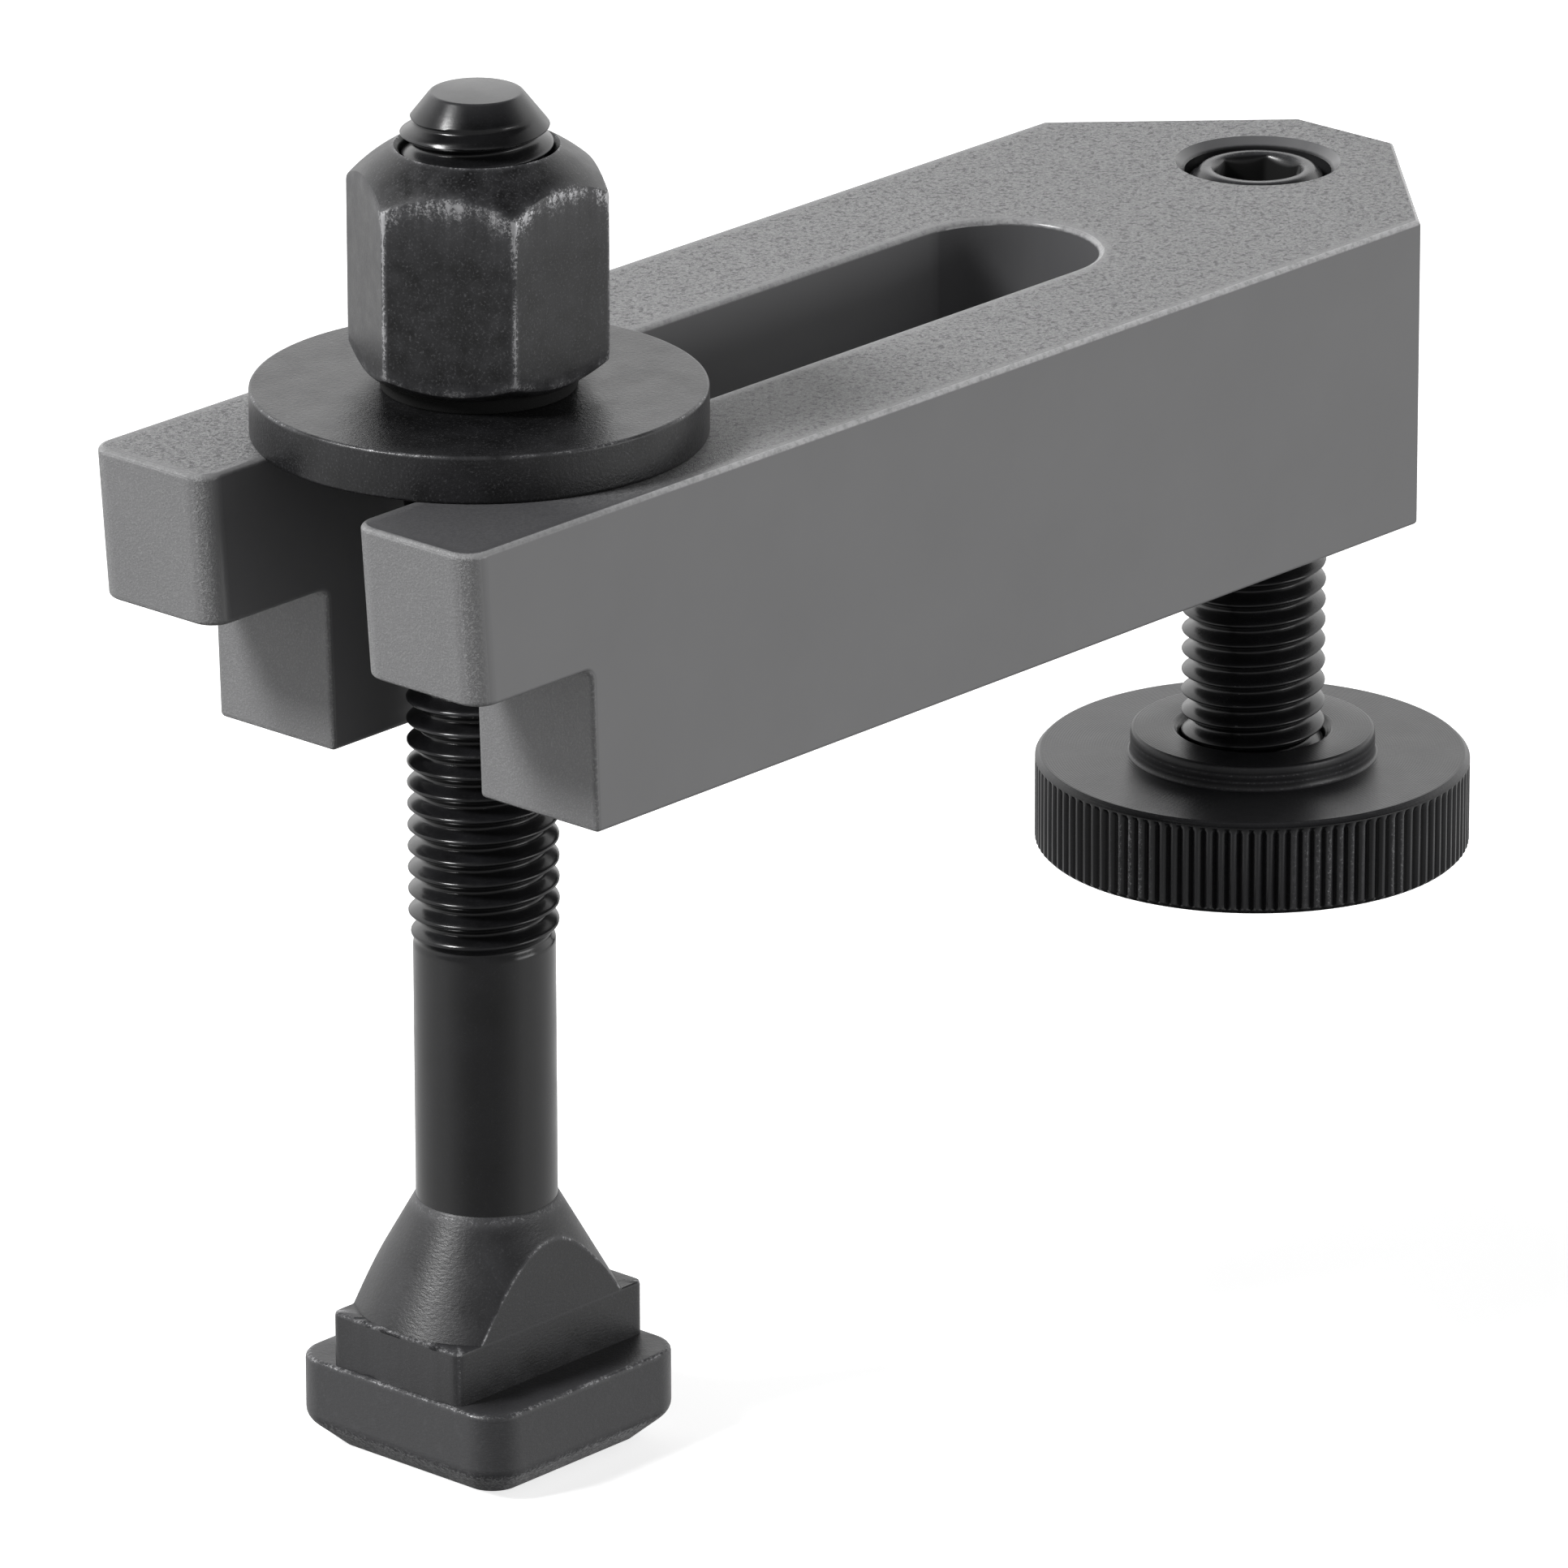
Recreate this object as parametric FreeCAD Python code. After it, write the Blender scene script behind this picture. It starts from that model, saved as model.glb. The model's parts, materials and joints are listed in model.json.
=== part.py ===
"""Fork-type step clamp on an M12 T-slot bolt: six pieces, each written to parts/NODE.step.

Frame: millimetres, +Z up. The T-slot bolt's axis is the Z axis and the underside of its head is
z = 0. +X runs from the clamp's nose to its rear end. The nut sits on the washer, the washer on the
clamp body, and the support screw holds the foot below the body's rear end. Threads are plain
cylinders at the crest diameter, and tapped holes are plain bores one running clearance larger.
"""
import FreeCAD, Part

import math
import os

V = FreeCAD.Vector

# Thread shared by bolt, nut, support screw and tapped hole
THREAD_D = 11.8               # crest diameter of the M12 screws
THREAD_CLEARANCE = 0.06       # radial, between a screw and the bore it runs in

# T-slot bolt
HEAD_LENGTH = 22.0            # along X
HEAD_WIDTH = 22.0             # along Y
HEAD_HEIGHT = 7.4             # underside to shoulder
HEAD_CORNER_R = 3.0           # rounded upright corners
HEAD_BEVEL_IN = 2.3           # bottom bevel, measured inwards
HEAD_BEVEL_UP = 2.2           # bottom bevel, measured upwards
NECK_WIDTH = 13.7             # between the milled flats that slide in the T-slot's throat
NECK_LENGTH = 21.2            # along X
NECK_CORNER_R = 0.8           # its upright corners
NECK_RISE = 4.4               # shoulder to the neck's top
CONE_D = 21.0                 # foot of the forged cone, standing on the neck
CONE_RISE = 8.7               # neck's top to the shank
SHANK_D = 11.1                # plain shank, rolled-thread blank diameter
SHANK_RISE = 21.5             # cone to the first thread
BOLT_LENGTH = 102.9           # shoulder to the top end
BOLT_TIP_D = 7.1              # flat at the top end
BOLT_TIP_RISE = 3.0           # height of the lead-in bevel

# Washer
WASHER_D = 35.3
WASHER_THICKNESS = 3.8
WASHER_HOLE_D = 13.0
WASHER_EDGE = 0.25            # edge break

# Hexagon nut, 1.5 d high with one domed end
NUT_ACROSS_FLATS = 18.0
NUT_HEIGHT = 18.0             # hexagon and dome, above the bearing collar
NUT_COLLAR_D = 16.3           # turned bearing collar
NUT_COLLAR_HEIGHT = 1.2
NUT_BEVEL_DEG = 34.0          # lower corner bevel, from the horizontal
NUT_DOME_R = 13.5             # spherical upper end
NUT_MOUTH_D = 12.7            # countersunk thread mouth
NUT_TURN_DEG = 29.0           # direction of one flat, from +X

# Clamp body
BODY_LENGTH = 125.6           # nose tip to rear end
BODY_WIDTH = 40.0
BODY_HEIGHT = 25.7
BODY_UNDERSIDE_Z = 57.4       # height at which the clamp is set on the bolt
NOSE_AHEAD = 22.5             # nose tip ahead of the bolt axis
NOSE_LENGTH = 13.5            # nose tip to the step face
NOSE_THICKNESS = 12.4         # under the washer's face, at the step
NOSE_DRAFT_DEG = 4.5          # forging draft of the nose tip
STEP_DRAFT_DEG = 2.0          # forging draft of the step face
STEP_FILLET_R = 0.9           # inner corner of the step
PRONG_CORNER_R = 2.0          # upright corners of both prongs
SLOT_WIDTH = 15.4
SLOT_LENGTH = 90.8            # nose tip to the slot's round end
REAR_FLAT = 10.0              # flat left on the rear end
REAR_BEVEL = 14.6             # length of the two big rear bevels along X
EDGE_R = 0.45                 # broken edges of the forging
TAPPED_HOLE_FROM_REAR = 11.1  # support screw's axis ahead of the rear end
TAPPED_HOLE_MOUTH_D = 13.4    # countersink

# Support screw and its foot
SUPPORT_REACH = 32.85         # foot's sole below the clamp's underside
SCREW_RECESS = 0.5            # screw's end below the clamp's top
SCREW_TIP_D = 9.1             # flat ring at both ends
SCREW_TIP_RISE = 1.2          # bevel height at both ends
SOCKET_ACROSS_FLATS = 6.0
SOCKET_DEPTH = 6.0
SOCKET_MOUTH_D = 7.6          # countersunk mouth of the hexagon socket
FOOT_D = 35.7                 # over the knurl's crests
FOOT_THICKNESS = 7.9
FOOT_TOP_BEVEL = 0.45
FOOT_BOTTOM_BEVEL = 0.8
FOOT_FLOOR = 1.6              # metal left under the screw's end
BOSS_D = 20.1
BOSS_RISE = 2.1
BOSS_EDGE = 0.3
FOOT_MOUTH_D = 13.0           # countersink of the foot's bore
KNURL_TEETH = 112             # straight knurl, about 1 mm pitch
KNURL_DEPTH = 0.35

# Heights and places that follow from the sizes above
THREAD_R = THREAD_D / 2
BORE_R = THREAD_R + THREAD_CLEARANCE
NECK_TOP_Z = HEAD_HEIGHT + NECK_RISE
CONE_TOP_Z = NECK_TOP_Z + CONE_RISE
THREAD_START_Z = CONE_TOP_Z + SHANK_RISE
BOLT_TOP_Z = HEAD_HEIGHT + BOLT_LENGTH
BODY_TOP_Z = BODY_UNDERSIDE_Z + BODY_HEIGHT
WASHER_TOP_Z = BODY_TOP_Z + WASHER_THICKNESS
NOSE_X = -NOSE_AHEAD
REAR_X = NOSE_X + BODY_LENGTH
SUPPORT_X = REAR_X - TAPPED_HOLE_FROM_REAR
SOLE_Z = BODY_UNDERSIDE_Z - SUPPORT_REACH
FOOT_TOP_Z = SOLE_Z + FOOT_THICKNESS
SCREW_BOTTOM_Z = SOLE_Z + FOOT_FLOOR
SCREW_TOP_Z = BODY_TOP_Z - SCREW_RECESS
OVERCUT = 1.0                 # how far a cutter runs past the face it opens


def revolve_profile(points, x=0.0):
    """Solid of revolution about the upright axis at x, from (radius, z) points in order."""
    wire = Part.makePolygon([V(r, 0, z) for r, z in points + points[:1]])
    solid = Part.Face(wire).revolve(V(0, 0, 0), V(0, 0, 1), 360)
    return solid.translated(V(x, 0, 0))


def cylinder(radius, z_low, z_high, x=0.0):
    """Upright cylinder between two heights."""
    return Part.makeCylinder(radius, z_high - z_low, V(x, 0, z_low))


def cone(radius_low, radius_high, z_low, z_high, x=0.0):
    """Upright cone frustum between two heights."""
    return Part.makeCone(radius_low, radius_high, z_high - z_low, V(x, 0, z_low))


def rounded_block(length, width, corner_r, z_low, z_high):
    """Block centred on the bolt axis with rounded upright corners."""
    block = Part.makeBox(length, width, z_high - z_low, V(-length / 2, -width / 2, z_low))
    return block.makeFillet(corner_r, upright_edges(block))


def upright_edges(solid, x_max=math.inf):
    """Straight edges that rise from one height to another, no further back than x_max."""
    picked = []
    for edge in solid.Edges:
        ends = [vertex.Point for vertex in edge.Vertexes]
        if len(ends) != 2 or not isinstance(edge.Curve, Part.Line):
            continue
        rise = abs(ends[1].z - ends[0].z)
        along = math.hypot(ends[1].x - ends[0].x, ends[1].y - ends[0].y)
        if rise > 5 * along and max(ends[0].x, ends[1].x) < x_max:
            picked.append(edge)
    return picked


def side_cutter(points, half_width):
    """Prism across Y from (x, z) points, for cutting the clamp's side profile."""
    wire = Part.makePolygon([V(x, -half_width, z) for x, z in points + points[:1]])
    return Part.Face(wire).extrude(V(0, 2 * half_width, 0))


def hexagon(across_flats, z_low, z_high, turn_deg, x=0.0):
    """Hexagonal prism with one flat facing turn_deg from +X."""
    corner_r = across_flats / 2 / math.cos(math.pi / 6)
    angles = [math.radians(turn_deg + 30 + 60 * k) for k in range(7)]
    corners = [V(x + corner_r * math.cos(a), corner_r * math.sin(a), z_low) for a in angles]
    return Part.Face(Part.makePolygon(corners)).extrude(V(0, 0, z_high - z_low))


def t_slot_bolt():
    """Forged head with a bevelled foot, milled neck flats, cone, plain shank and thread."""
    head = rounded_block(HEAD_LENGTH, HEAD_WIDTH, HEAD_CORNER_R, 0, HEAD_HEIGHT)
    sole = [e for e in head.Edges if e.BoundBox.ZMax < 1e-6]
    head = head.makeChamfer(HEAD_BEVEL_UP, HEAD_BEVEL_IN, sole)
    neck = rounded_block(NECK_LENGTH, NECK_WIDTH, NECK_CORNER_R, HEAD_HEIGHT, NECK_TOP_Z)
    flare = cone(CONE_D / 2, SHANK_D / 2, NECK_TOP_Z, CONE_TOP_Z)
    flats = Part.makeBox(CONE_D, NECK_WIDTH, CONE_RISE, V(-CONE_D / 2, -NECK_WIDTH / 2, NECK_TOP_Z))
    shank = cylinder(SHANK_D / 2, CONE_TOP_Z, THREAD_START_Z)
    thread_top_z = BOLT_TOP_Z - BOLT_TIP_RISE
    thread = cylinder(THREAD_R, THREAD_START_Z, thread_top_z)
    tip = cone(THREAD_R, BOLT_TIP_D / 2, thread_top_z, BOLT_TOP_Z)
    return head.multiFuse([neck, flare.common(flats), shank, thread, tip]).removeSplitter()


def washer():
    """Flat ring with broken edges, on the clamp body."""
    outer, inner, edge = WASHER_D / 2, WASHER_HOLE_D / 2, WASHER_EDGE
    return revolve_profile([
        (inner, BODY_TOP_Z), (outer - edge, BODY_TOP_Z), (outer, BODY_TOP_Z + edge),
        (outer, WASHER_TOP_Z - edge), (outer - edge, WASHER_TOP_Z),
        (inner + edge, WASHER_TOP_Z), (inner, WASHER_TOP_Z - edge)])


def nut_envelope(z_hexagon, z_top):
    """Turned outline of the nut: bearing collar, lower corner bevel and domed upper end."""
    collar_r, mouth_r = NUT_COLLAR_D / 2, NUT_MOUTH_D / 2
    wide_r = NUT_ACROSS_FLATS / math.sqrt(3) + OVERCUT
    bevel_rise = (wide_r - collar_r) * math.tan(math.radians(NUT_BEVEL_DEG))
    dome_z = z_top - math.sqrt(NUT_DOME_R ** 2 - mouth_r ** 2)
    wide_z = dome_z + math.sqrt(NUT_DOME_R ** 2 - wide_r ** 2)
    mid_r = (wide_r + mouth_r) / 2
    mid = V(mid_r, 0, dome_z + math.sqrt(NUT_DOME_R ** 2 - mid_r ** 2))
    low = [V(0, 0, z_top), V(0, 0, WASHER_TOP_Z), V(collar_r, 0, WASHER_TOP_Z),
           V(collar_r, 0, z_hexagon), V(wide_r, 0, z_hexagon + bevel_rise), V(wide_r, 0, wide_z)]
    edges = [Part.LineSegment(a, b).toShape() for a, b in zip(low, low[1:])]
    edges.append(Part.Arc(low[-1], mid, V(mouth_r, 0, z_top)).toShape())
    edges.append(Part.LineSegment(V(mouth_r, 0, z_top), low[0]).toShape())
    return Part.Face(Part.Wire(edges)).revolve(V(0, 0, 0), V(0, 0, 1), 360)


def hex_nut():
    """Tall hexagon nut: bearing collar below, spherical end above, bore with a countersunk mouth."""
    z_hexagon = WASHER_TOP_Z + NUT_COLLAR_HEIGHT
    z_top = z_hexagon + NUT_HEIGHT
    prism = hexagon(NUT_ACROSS_FLATS, WASHER_TOP_Z, z_top, NUT_TURN_DEG)
    body = prism.common(nut_envelope(z_hexagon, z_top))
    mouth_r = NUT_MOUTH_D / 2
    bore = cylinder(BORE_R, WASHER_TOP_Z - OVERCUT, z_top + OVERCUT)
    mouth = cone(BORE_R, mouth_r, z_top - (mouth_r - BORE_R), z_top)
    return body.cut(bore).cut(mouth)


def body_outline():
    """Plan of the clamp body: two prongs round an open slot, and a bevelled rear end."""
    half, slot_half, flat_half = BODY_WIDTH / 2, SLOT_WIDTH / 2, REAR_FLAT / 2
    slot_end_x = NOSE_X + SLOT_LENGTH
    z = BODY_UNDERSIDE_Z
    far = [V(slot_end_x - slot_half, slot_half, z), V(NOSE_X, slot_half, z), V(NOSE_X, half, z),
           V(REAR_X - REAR_BEVEL, half, z), V(REAR_X, flat_half, z)]
    near = [V(p.x, -p.y, p.z) for p in reversed(far)]
    path = far + near
    edges = [Part.LineSegment(a, b).toShape() for a, b in zip(path, path[1:])]
    edges.append(Part.Arc(near[-1], V(slot_end_x, 0, z), far[0]).toShape())
    return Part.Face(Part.Wire(edges))


def nose_step():
    """Cutter below the nose, with a drafted step face and a filleted inner corner."""
    step_x = NOSE_X + NOSE_LENGTH
    pad_z = BODY_TOP_Z - NOSE_THICKNESS
    low_z = BODY_UNDERSIDE_Z - OVERCUT
    lean = math.tan(math.radians(STEP_DRAFT_DEG))
    cutter = side_cutter([(NOSE_X - OVERCUT, low_z), (step_x + (pad_z - low_z) * lean, low_z),
                          (step_x, pad_z), (NOSE_X - OVERCUT, pad_z)], BODY_WIDTH)
    corner = [e for e in cutter.Edges if abs(e.BoundBox.ZMin - pad_z) < 1e-6
              and abs(e.BoundBox.XMin - step_x) < 1e-6]
    return cutter.makeFillet(STEP_FILLET_R, corner)


def nose_draft():
    """Wedge that leans the nose tip back towards its underside."""
    low_z = BODY_UNDERSIDE_Z - OVERCUT
    lean = (BODY_TOP_Z - low_z) * math.tan(math.radians(NOSE_DRAFT_DEG))
    return side_cutter([(NOSE_X, BODY_TOP_Z), (NOSE_X + lean, low_z), (NOSE_X - OVERCUT, low_z),
                        (NOSE_X - OVERCUT, BODY_TOP_Z)], BODY_WIDTH)


def step_edges(body):
    """Outer edges of the nose's underside and of the step, without their tangent lines."""
    pad_z = BODY_TOP_Z - NOSE_THICKNESS
    fillet_x = NOSE_X + NOSE_LENGTH - STEP_FILLET_R
    picked = []
    for edge in body.Edges:
        box = edge.BoundBox
        below = box.ZMax < pad_z + 1e-6 and box.ZMax > BODY_UNDERSIDE_Z + 1e-6
        ahead = box.XMax < fillet_x + 2 * STEP_FILLET_R
        tangent_line = box.XMin > fillet_x - 1e-6 and box.YLength > 1e-3
        if below and ahead and not tangent_line:
            picked.append(edge)
    return picked


def clamp_body():
    """Forged fork: slot, nose step, rear bevels, broken edges and the tapped hole."""
    body = body_outline().extrude(V(0, 0, BODY_HEIGHT))
    body = body.cut(nose_step()).cut(nose_draft())
    step_x = NOSE_X + NOSE_LENGTH
    body = body.makeFillet(PRONG_CORNER_R, upright_edges(body, x_max=(NOSE_X + step_x) / 2))
    rims = [e for e in body.Edges if e.BoundBox.ZMin > BODY_TOP_Z - 1e-6
            or e.BoundBox.ZMax < BODY_UNDERSIDE_Z + 1e-6]
    body = body.makeFillet(EDGE_R, rims + step_edges(body))
    mouth_r = TAPPED_HOLE_MOUTH_D / 2
    bore = cylinder(BORE_R, BODY_UNDERSIDE_Z - OVERCUT, BODY_TOP_Z + OVERCUT, SUPPORT_X)
    rise = mouth_r - BORE_R
    top_mouth = cone(BORE_R, mouth_r, BODY_TOP_Z - rise, BODY_TOP_Z, SUPPORT_X)
    low_mouth = cone(mouth_r, BORE_R, BODY_UNDERSIDE_Z, BODY_UNDERSIDE_Z + rise, SUPPORT_X)
    return body.cut(bore).cut(top_mouth).cut(low_mouth)


def support_screw():
    """Headless screw with bevelled ends and a hexagon socket in its upper end."""
    tip_r = SCREW_TIP_D / 2
    low_z, high_z = SCREW_BOTTOM_Z + SCREW_TIP_RISE, SCREW_TOP_Z - SCREW_TIP_RISE
    rod = revolve_profile([(0, SCREW_BOTTOM_Z), (tip_r, SCREW_BOTTOM_Z), (THREAD_R, low_z),
                           (THREAD_R, high_z), (tip_r, SCREW_TOP_Z), (0, SCREW_TOP_Z)], SUPPORT_X)
    floor_z = SCREW_TOP_Z - SOCKET_DEPTH
    socket = hexagon(SOCKET_ACROSS_FLATS, floor_z, SCREW_TOP_Z + OVERCUT, 0, SUPPORT_X)
    flat_r, mouth_r = SOCKET_ACROSS_FLATS / 2, SOCKET_MOUTH_D / 2
    mouth = cone(flat_r, mouth_r, SCREW_TOP_Z - (mouth_r - flat_r), SCREW_TOP_Z, SUPPORT_X)
    return rod.cut(socket).cut(mouth)


def knurled_disc():
    """Toothed prism of the foot's rim, before its edges are bevelled."""
    crest_r, root_r = FOOT_D / 2, FOOT_D / 2 - KNURL_DEPTH
    points = []
    for k in range(2 * KNURL_TEETH + 1):
        radius = crest_r if k % 2 == 0 else root_r
        angle = math.pi * k / KNURL_TEETH
        points.append(V(SUPPORT_X + radius * math.cos(angle), radius * math.sin(angle), SOLE_Z))
    return Part.Face(Part.makePolygon(points)).extrude(V(0, 0, FOOT_THICKNESS))


def knurled_foot():
    """Knurled disc with a boss, and a blind bore that takes the screw's end."""
    outer = FOOT_D / 2
    blank = revolve_profile([
        (0, SOLE_Z), (outer - FOOT_BOTTOM_BEVEL, SOLE_Z), (outer, SOLE_Z + FOOT_BOTTOM_BEVEL),
        (outer, FOOT_TOP_Z - FOOT_TOP_BEVEL), (outer - FOOT_TOP_BEVEL, FOOT_TOP_Z),
        (0, FOOT_TOP_Z)], SUPPORT_X)
    boss_r, boss_z = BOSS_D / 2, FOOT_TOP_Z + BOSS_RISE
    boss = revolve_profile([
        (0, FOOT_TOP_Z), (boss_r, FOOT_TOP_Z), (boss_r, boss_z - BOSS_EDGE),
        (boss_r - BOSS_EDGE, boss_z), (0, boss_z)], SUPPORT_X)
    mouth_r = FOOT_MOUTH_D / 2
    bore = cylinder(BORE_R, SCREW_BOTTOM_Z, boss_z + OVERCUT, SUPPORT_X)
    mouth = cone(BORE_R, mouth_r, boss_z - (mouth_r - BORE_R), boss_z, SUPPORT_X)
    foot = knurled_disc().common(blank).fuse(boss).removeSplitter()
    return foot.cut(bore).cut(mouth)


PIECES = {
    "t_slot_bolt": t_slot_bolt,
    "washer": washer,
    "hex_nut": hex_nut,
    "clamp_body": clamp_body,
    "support_screw": support_screw,
    "knurled_foot": knurled_foot,
}


def main():
    """Build every piece and write its STEP file."""
    os.makedirs("parts", exist_ok=True)
    for name, build in PIECES.items():
        shape = build()
        solids = shape.Solids
        if len(solids) != 1 or not solids[0].isValid():
            raise ValueError(f"{name}: {len(solids)} solids, valid {shape.isValid()}")
        solids[0].exportStep(f"parts/{name}.step")
        print(f"{name}: {solids[0].Volume / 1000:.2f} cm3, {len(solids[0].Faces)} faces")


main()
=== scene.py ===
"""Looks of the step clamp: its dressed pieces, their finishes, the stage, the lights and the camera.

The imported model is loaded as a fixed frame, in metres: +Z up along the T-slot bolt, whose head stands
on z = 0, and +X from the clamp's nose to its rear end. Sizes in the classes below are in millimetres,
and those without a value come from the frame.
"""
import json
import logging
import math
from dataclasses import dataclass
from enum import Enum

import bmesh
import bpy
import numpy as np
from mathutils import Matrix, Vector

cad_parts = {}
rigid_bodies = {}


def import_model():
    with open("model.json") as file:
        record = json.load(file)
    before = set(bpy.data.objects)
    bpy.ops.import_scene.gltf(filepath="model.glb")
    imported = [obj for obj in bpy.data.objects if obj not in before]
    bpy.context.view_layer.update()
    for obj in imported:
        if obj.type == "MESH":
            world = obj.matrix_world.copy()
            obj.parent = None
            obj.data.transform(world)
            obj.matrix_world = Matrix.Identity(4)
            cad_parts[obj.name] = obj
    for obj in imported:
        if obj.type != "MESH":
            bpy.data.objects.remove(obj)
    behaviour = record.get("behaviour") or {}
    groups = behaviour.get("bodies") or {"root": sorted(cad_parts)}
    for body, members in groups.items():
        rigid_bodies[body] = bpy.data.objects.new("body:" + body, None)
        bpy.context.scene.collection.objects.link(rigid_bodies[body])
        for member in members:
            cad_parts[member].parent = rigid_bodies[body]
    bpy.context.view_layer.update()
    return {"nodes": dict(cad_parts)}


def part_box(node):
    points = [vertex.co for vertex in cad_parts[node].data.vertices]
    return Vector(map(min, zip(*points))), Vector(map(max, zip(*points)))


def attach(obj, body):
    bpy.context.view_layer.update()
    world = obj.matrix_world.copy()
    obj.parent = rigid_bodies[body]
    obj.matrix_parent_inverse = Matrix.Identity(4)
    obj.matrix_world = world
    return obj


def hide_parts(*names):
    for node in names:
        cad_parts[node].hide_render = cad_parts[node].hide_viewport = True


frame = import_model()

LOG = logging.getLogger("step_clamp")
MM = 0.001          # metres in a millimetre
TURN = 2 * math.pi
PITCH = 1.75        # coarse thread of a 12 mm screw
ROOT_DEPTH = 0.6134 * PITCH
ROUNDING = 0.07     # share of a pitch over which the thread's crest and root are rounded
WELD = 1e-3 * MM    # points nearer than this are one point
TINY = 1e-9         # keeps a divisor from being zero

Array = np.ndarray
Colour = tuple[float, float, float, float]
Socket = bpy.types.NodeSocket
Value = float | tuple[float, ...] | Socket


class Body(Enum):
    """Bodies of the frame that the pieces ride on."""

    BOLT = "bolt"
    WASHER = "washer"
    NUT = "nut"
    CLAMP = "clamp"
    FOOT = "foot"
    SCREW = "screw"


# --- shapes worked out on grids ---


def corners_mm(node: str) -> tuple[Array, Array]:
    """Lowest and highest corner of a node of the frame at rest, in millimetres."""
    low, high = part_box(node)
    return np.array(low) / MM, np.array(high) / MM


def around(count: int) -> Array:
    """Angles of a closed grid's columns, with the last on top of the first.

    Args:
        count: Columns in one turn.

    Returns:
        count + 1 angles in radians, from 0 to a full turn.
    """
    return np.linspace(0.0, TURN, count + 1)


def ramp(low: float, high: float, x: Array) -> Array:
    """Smooth step: 3t^2 - 2t^3, where t = (x - low) / (high - low) is held between 0 and 1.

    Args:
        low: Value of x where the step starts.
        high: Value of x where it ends.
        x: Values to step.

    Returns:
        Numbers from 0 to 1, shaped as x.
    """
    t = np.clip((x - low) / (high - low), 0.0, 1.0)
    return t * t * (3.0 - 2.0 * t)


def ripple(x: Array, seed: int, octaves: int = 5) -> Array:
    """Uneven line: sum of sin(f_k x + p_k) / sqrt(f_k) / 1.8, f_k near 1.7^k, with seeded phases p_k.

    Args:
        x: Places along the line.
        seed: Picks the frequencies and phases, so each run gives the same line.
        octaves: Number of sines.

    Returns:
        Values of about -1 to 1, shaped as x.
    """
    rng = np.random.default_rng(seed)
    f = 1.7 ** np.arange(octaves) * rng.uniform(0.8, 1.25, octaves)
    p = rng.uniform(0.0, TURN, octaves)
    waves = np.sin(np.asarray(x)[..., None] * f + p) / np.sqrt(f)
    return waves.sum(axis=-1) / 1.8


def soften(points: Array, reach: Array, steps: int = 5) -> Array:
    """Round a profile's corners with parabolas.

    A corner c, with unit vectors a and b towards its neighbours, becomes
    c + reach * ((1 - t)^2 a + t^2 b) for t from 0 to 1.

    Args:
        points: Corners as (K, 2) rows.
        reach: How far each rounding reaches along its two sides, K values; 0 leaves a corner sharp.
        steps: Points on each rounding.

    Returns:
        The rounded profile as (K * steps, 2) rows.
    """
    pts = np.asarray(points, float)
    sides = [np.vstack([pts[:1], pts[:-1]]) - pts, np.vstack([pts[1:], pts[-1:]]) - pts]
    a, b = (s / np.maximum(np.linalg.norm(s, axis=1, keepdims=True), TINY) for s in sides)
    t = np.linspace(0.0, 1.0, steps)[None, :, None]
    pull = (1 - t) ** 2 * a[:, None, :] + t**2 * b[:, None, :]
    return (pts[:, None, :] + np.asarray(reach, float)[:, None, None] * pull).reshape(-1, 2)


def rounded_rectangle(half_x: Array, half_y: Array, corner: Array, angle: Array) -> Array:
    """Radius of a rounded rectangle seen from its centre.

    On a side it is half / |cos| or half / |sin|. In a corner it is d.c + sqrt((d.c)^2 - |c|^2 + q^2),
    with d the direction folded into the first quarter, c the corner's centre and q its radius.

    Args:
        half_x: Half length along X.
        half_y: Half length along Y.
        corner: Corner radius.
        angle: Directions in radians.

    Returns:
        Radii, shaped as the arguments broadcast together.
    """
    dx, dy = np.abs(np.cos(angle)), np.abs(np.sin(angle))
    side = np.minimum(half_x / np.maximum(dx, TINY), half_y / np.maximum(dy, TINY))
    cx, cy = half_x - corner, half_y - corner
    along = dx * cx + dy * cy
    inside = np.maximum(along**2 - cx**2 - cy**2 + corner**2, 0.0)
    bent = (side * dx > cx) & (side * dy > cy)
    return np.where(bent, along + np.sqrt(inside), side)


def rounded_hexagon(across_flats: float, corner: float, angle: Array, turn_deg: float) -> Array:
    """Radius of a hexagon with rounded corners seen from its centre.

    With u the angle from the nearest corner and a half the width across flats, a side is
    a / cos(30 - u), and the rounding is m cos u + sqrt(q^2 - (m sin u)^2), m = (a - q) / cos 30.

    Args:
        across_flats: Width across flats.
        corner: Corner radius q.
        angle: Directions in radians.
        turn_deg: Direction of one flat, in degrees from +X.

    Returns:
        Radii, shaped as angle.
    """
    sector = TURN / 6
    fold = np.mod(angle - math.radians(turn_deg), sector)
    u = np.abs(fold - sector / 2)
    half = across_flats / 2
    side = half / np.cos(sector / 2 - u)
    m = (half - corner) / math.cos(sector / 2)
    inside = np.maximum(corner**2 - (m * np.sin(u)) ** 2, 0.0)
    bent = side * np.sin(sector / 2 - u) > (half - corner) * math.tan(sector / 2)
    return np.where(bent, m * np.cos(u) + np.sqrt(inside), side)


def turned(radius: Array, height: Array, angle: Array, centre_x: float = 0.0) -> Array:
    """Grid points (x0 + r cos a, r sin a, z).

    Args:
        radius: Radii, (rows, 1) or (rows, columns).
        height: Heights, (rows, 1) or (rows, columns).
        angle: Column angles.
        centre_x: X of the upright axis.

    Returns:
        Points as (rows, columns, 3).
    """
    a = angle[None, :]
    x = centre_x + radius * np.cos(a)
    y = radius * np.sin(a)
    return np.stack([x, y, np.broadcast_to(height, x.shape)], axis=-1)


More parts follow.
